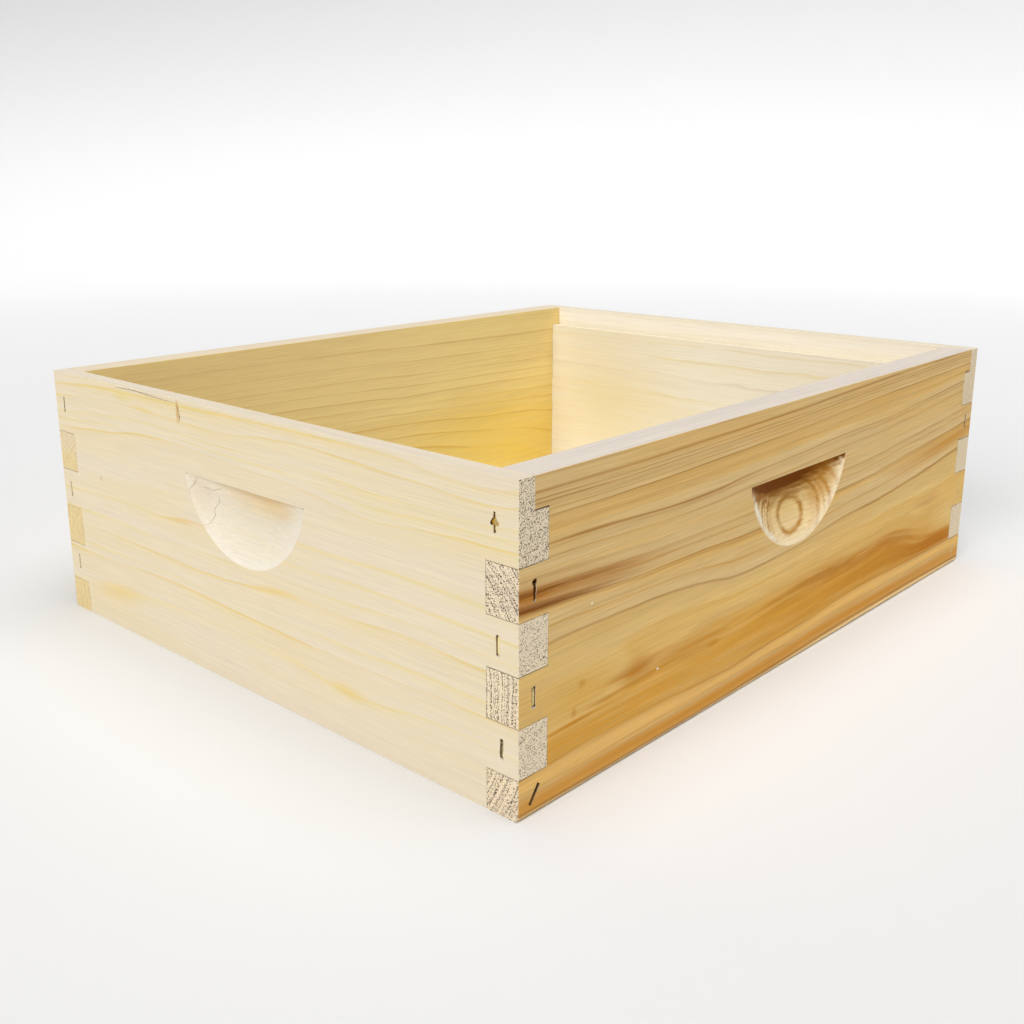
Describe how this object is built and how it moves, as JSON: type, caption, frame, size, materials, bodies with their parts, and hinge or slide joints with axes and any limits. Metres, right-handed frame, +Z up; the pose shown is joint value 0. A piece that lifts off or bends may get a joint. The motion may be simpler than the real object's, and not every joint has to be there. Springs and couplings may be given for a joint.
{
  "type": "beehive super",
  "caption": "Open wooden box for honey frames, with finger-jointed stapled corners, frame rests inside the ends and scooped handholds.",
  "frame": {"origin": "middle of the bottom rim, at the height of the rim", "axes": "+Z up, +Y along the side boards from the front end board to the back one, +X across the end boards to the right"},
  "size_m": [0.413, 0.505, 0.165],
  "materials": {
    "pale_pine": "planed, unfinished",
    "golden_pine": "planed, unfinished",
    "staple_steel": "bright wire"
  },
  "bodies": {
    "root": {"front_end_board": "pale_pine", "back_end_board": "pale_pine", "left_side_board": "golden_pine", "right_side_board": "golden_pine", "front_right_end_staple_1": "staple_steel", "front_right_side_staple_2": "staple_steel", "front_right_end_staple_3": "staple_steel", "front_right_side_staple_4": "staple_steel", "front_right_end_staple_5": "staple_steel", "front_right_side_staple_6": "staple_steel", "back_right_end_staple_1": "staple_steel", "back_right_side_staple_2": "staple_steel", "back_right_end_staple_3": "staple_steel", "back_right_side_staple_4": "staple_steel", "back_right_end_staple_5": "staple_steel", "back_right_side_staple_6": "staple_steel", "back_left_end_staple_1": "staple_steel", "back_left_side_staple_2": "staple_steel", "back_left_end_staple_3": "staple_steel", "back_left_side_staple_4": "staple_steel", "back_left_end_staple_5": "staple_steel", "back_left_side_staple_6": "staple_steel", "front_left_end_staple_1": "staple_steel", "front_left_side_staple_2": "staple_steel", "front_left_end_staple_3": "staple_steel", "front_left_side_staple_4": "staple_steel", "front_left_end_staple_5": "staple_steel", "front_left_side_staple_6": "staple_steel"}
  },
  "joints": []
}
